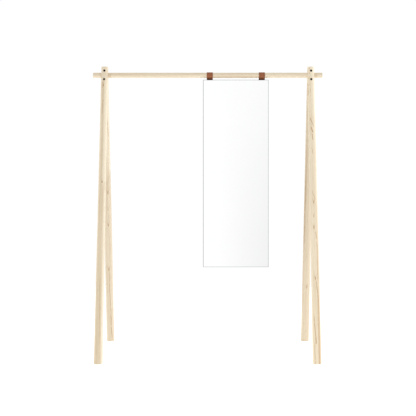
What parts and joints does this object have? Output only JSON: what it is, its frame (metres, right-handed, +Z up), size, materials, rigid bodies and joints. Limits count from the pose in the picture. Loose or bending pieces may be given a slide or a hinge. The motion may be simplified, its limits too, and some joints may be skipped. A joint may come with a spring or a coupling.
{
  "type": "standing mirror",
  "caption": "A-frame stand of tapered round pine poles with a rail, and a frameless rectangular mirror hung from the rail by leather straps.",
  "frame": {"origin": "on the floor under the middle of the rail, at the centre of the stand's footprint", "axes": "+X to the right along the rail as seen from the front, -Y the way the mirror faces, +Z up"},
  "size_m": [1.224, 0.6316, 1.52],
  "materials": {
    "pine": "clear matt lacquer over pale pine",
    "leather": "cognac brown, smooth side out",
    "mirror": "polished silvered glass",
    "board": "medium-density fibreboard, stained black",
    "black_steel": "black oxide",
    "steel": "zinc plated",
    "foam_tape": "foam"
  },
  "bodies": {
    "stand": {"front_left_leg": "pine", "rear_left_leg": "pine", "front_right_leg": "pine", "rear_right_leg": "pine", "rail": "pine", "upper_left_bolt": "black_steel", "lower_left_bolt": "black_steel", "upper_right_bolt": "black_steel", "lower_right_bolt": "black_steel", "upper_left_sleeve_nut": "black_steel", "lower_left_sleeve_nut": "black_steel", "upper_right_sleeve_nut": "black_steel", "lower_right_sleeve_nut": "black_steel"},
    "straps": {"left_strap": "leather", "right_strap": "leather"},
    "mirror": {"mirror_glass": "mirror", "backing_board": "board", "left_mounting_tape": "foam_tape", "right_mounting_tape": "foam_tape", "left_clamp_plate": "black_steel", "right_clamp_plate": "black_steel", "left_clamp_screw_outer": "steel", "left_clamp_screw_inner": "steel", "right_clamp_screw_outer": "steel", "right_clamp_screw_inner": "steel"}
  },
  "joints": [
    {"name": "mirror_slide", "type": "slide", "parent": "stand", "child": "straps", "axis": [1, 0, 0], "range_m": [-0.5, 0.2]},
    {"name": "mirror_swing", "type": "hinge", "parent": "straps", "child": "mirror", "pos_m": [0.15, 0, 1.4746], "axis": [1, 0, 0], "range_deg": [-60, 60], "deforming": ["left_strap", "right_strap"]}
  ]
}
